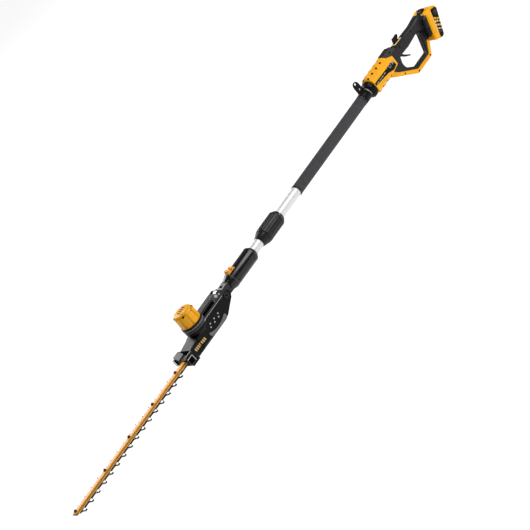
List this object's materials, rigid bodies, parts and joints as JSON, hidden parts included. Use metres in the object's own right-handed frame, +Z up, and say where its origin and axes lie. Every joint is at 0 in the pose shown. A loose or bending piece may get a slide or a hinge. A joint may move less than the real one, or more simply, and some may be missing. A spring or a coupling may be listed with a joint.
{
  "type": "pole hedge trimmer",
  "caption": "Cordless pole hedge trimmer with a tilting double-blade head, a two-part pole, a loop-guard handle and a slide-on battery.",
  "frame": {"origin": "middle of the tool's box in X and Y, at the level of the loop guard's underside", "axes": "+X along the pole towards the battery, +Y to the tool's right, +Z up; the pole lies level"},
  "size_m": [2.0792, 0.076, 0.181],
  "materials": {
    "black_plastic": "moulded nylon with a fine grain",
    "yellow_plastic": "satin moulded plastic",
    "orange_plastic": "moulded plastic",
    "foam": "closed-cell foam",
    "aluminium": "satin anodised",
    "steel": "ground",
    "dark_steel": "blackened",
    "bar_paint": "orange paint over an aluminium extrusion",
    "copper": "lacquered windings",
    "gloss_black": "smooth",
    "cell_wrap": "wrapped cells",
    "board_green": "circuit board"
  },
  "bodies": {
    "handle": {"rear_flange": "black_plastic", "pole_socket": "gloss_black", "rear_tube": "aluminium", "rear_cable": "black_plastic", "foam_grip": "foam", "hanging_bracket": "black_plastic", "clamp_nut": "black_plastic", "front_housing_left": "yellow_plastic", "front_housing_right": "yellow_plastic", "side_panel_left": "black_plastic", "side_panel_right": "black_plastic", "grip_shell_left": "black_plastic", "grip_shell_right": "black_plastic", "trigger_pin": "steel", "lock_off_pin": "steel", "lock_off_bezel": "yellow_plastic", "switch_module": "gloss_black", "control_board": "board_green", "battery_foot": "black_plastic"},
    "trigger": {"trigger": "black_plastic"},
    "lock_off": {"lock_off_lever": "black_plastic"},
    "battery": {"battery_upper_case": "yellow_plastic", "battery_lower_case": "black_plastic", "battery_cells": "cell_wrap"},
    "battery_button": {"battery_button": "black_plastic"},
    "thrust_ring": {"thrust_ring": "steel"},
    "collar": {"collar": "black_plastic"},
    "front_pole": {"connector_body": "black_plastic", "front_tube": "aluminium", "ferrule": "black_plastic", "pole_plug": "gloss_black", "front_cable": "black_plastic"},
    "release": {"release_slide": "orange_plastic", "lock_pin": "steel"},
    "head": {"head_shell_left": "black_plastic", "head_shell_right": "black_plastic", "cheek_ledge_left": "black_plastic", "cheek_ledge_right": "black_plastic", "front_guard": "black_plastic", "head_bottom_plate": "black_plastic", "motor_cap": "yellow_plastic", "motor_stator": "copper", "pivot_pin": "steel", "detent_wheel": "steel", "guide_bar": "bar_paint", "bar_bolt_1": "dark_steel", "bar_bolt_2": "dark_steel", "bar_bolt_3": "dark_steel", "bar_bolt_4": "dark_steel", "bar_bolt_5": "dark_steel"},
    "motor_rotor": {"motor_rotor": "steel"},
    "crank": {"crank_gear": "steel"},
    "blade_upper": {"blade_upper": "steel"},
    "blade_lower": {"blade_lower": "steel"}
  },
  "joints": [
    {"name": "trigger_pull", "type": "hinge", "parent": "handle", "child": "trigger", "pos_m": [0.8264, 0, 0.1], "axis": [0, -1, 0], "range_deg": [0, 18], "stiffness_Nm_per_rad": 0.35, "springref_deg": -17.19},
    {"name": "lock_off_press", "type": "hinge", "parent": "handle", "child": "lock_off", "pos_m": [0.8484, 0, 0.116], "axis": [0, 1, 0], "range_deg": [0, 15], "stiffness_Nm_per_rad": 0.25, "springref_deg": -17.19},
    {"name": "battery_slide", "type": "slide", "parent": "handle", "child": "battery", "axis": [0.3584, 0, 0.9336], "range_m": [0, 0.08]},
    {"name": "battery_button_press", "type": "slide", "parent": "battery", "child": "battery_button", "axis": [-0.3584, 0, -0.9336], "range_m": [0, 0.004], "stiffness_N_per_m": 1200, "springref_m": -0.002},
    {"name": "collar_travel", "type": "slide", "parent": "handle", "child": "thrust_ring", "axis": [1, 0, 0], "range_m": [0, 0.008]},
    {"name": "collar_turn", "type": "hinge", "parent": "thrust_ring", "child": "collar", "pos_m": [0.0544, 0, 0.104], "axis": [1, 0, 0], "range_deg": [0, 720]},
    {"name": "front_pole_slide", "type": "slide", "parent": "handle", "child": "front_pole", "axis": [-1, 0, 0], "range_m": [0, 0.06]},
    {"name": "release_slide", "type": "slide", "parent": "front_pole", "child": "release", "axis": [1, 0, 0], "range_m": [0, 0.006], "stiffness_N_per_m": 1500, "springref_m": -0.002},
    {"name": "head_tilt", "type": "hinge", "parent": "front_pole", "child": "head", "pos_m": [-0.2306, 0, 0.104], "axis": [0, 1, 0], "range_deg": [-90, 90]},
    {"name": "motor_spin", "type": "hinge", "parent": "head", "child": "motor_rotor", "pos_m": [-0.3606, 0, 0.104], "axis": [0, 0, 1], "continuous": true},
    {"name": "crank_spin", "type": "hinge", "parent": "head", "child": "crank", "pos_m": [-0.3876, 0, 0.104], "axis": [0, 0, 1], "continuous": true},
    {"name": "upper_blade_stroke", "type": "slide", "parent": "head", "child": "blade_upper", "axis": [1, 0, 0], "range_m": [-0.008, 0.008]},
    {"name": "lower_blade_stroke", "type": "slide", "parent": "head", "child": "blade_lower", "axis": [1, 0, 0], "range_m": [-0.008, 0.008]}
  ],
  "couplings": [
    {"joint": "collar_turn", "follows": "collar_travel", "rad_per_m": 1570.8},
    {"joint": "motor_spin", "follows": "crank_spin", "ratio": -4},
    {"joint": "lower_blade_stroke", "follows": "upper_blade_stroke", "ratio": -1}
  ]
}
